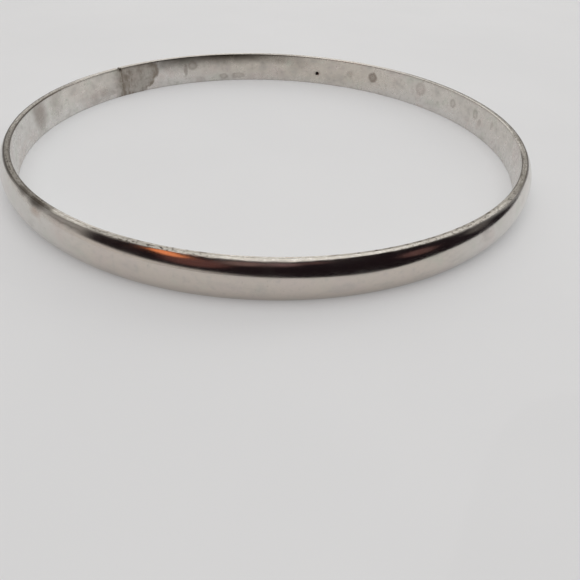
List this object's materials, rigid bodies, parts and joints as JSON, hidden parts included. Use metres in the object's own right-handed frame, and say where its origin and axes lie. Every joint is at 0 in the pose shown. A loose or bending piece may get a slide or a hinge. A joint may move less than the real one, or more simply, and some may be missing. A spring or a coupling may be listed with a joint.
{
  "type": "bangle bracelet",
  "caption": "Closed rigid round bangle: low-domed polished outer shell, flat satin inner liner, narrow flat rims and one soldered butt joint.",
  "frame": {"origin": "centre of the wrist opening, in the plane of the bottom rim", "axes": "+Z along the ring's axis; +X and +Y across the ring, with the butt joint at 142 degrees from +X towards +Y"},
  "size_m": [0.0682, 0.0682, 0.0045],
  "materials": {
    "polished_shell": "mirror polish with fine wear scratches",
    "satin_liner": "worn satin with brown tarnish spots",
    "rim_solder": "dull",
    "joint_solder": "dull, oxidised"
  },
  "bodies": {
    "root": {"outer_domed_shell": "polished_shell", "inner_liner": "satin_liner", "top_rim_solder": "rim_solder", "bottom_rim_solder": "rim_solder", "butt_joint_solder": "joint_solder"}
  },
  "joints": []
}
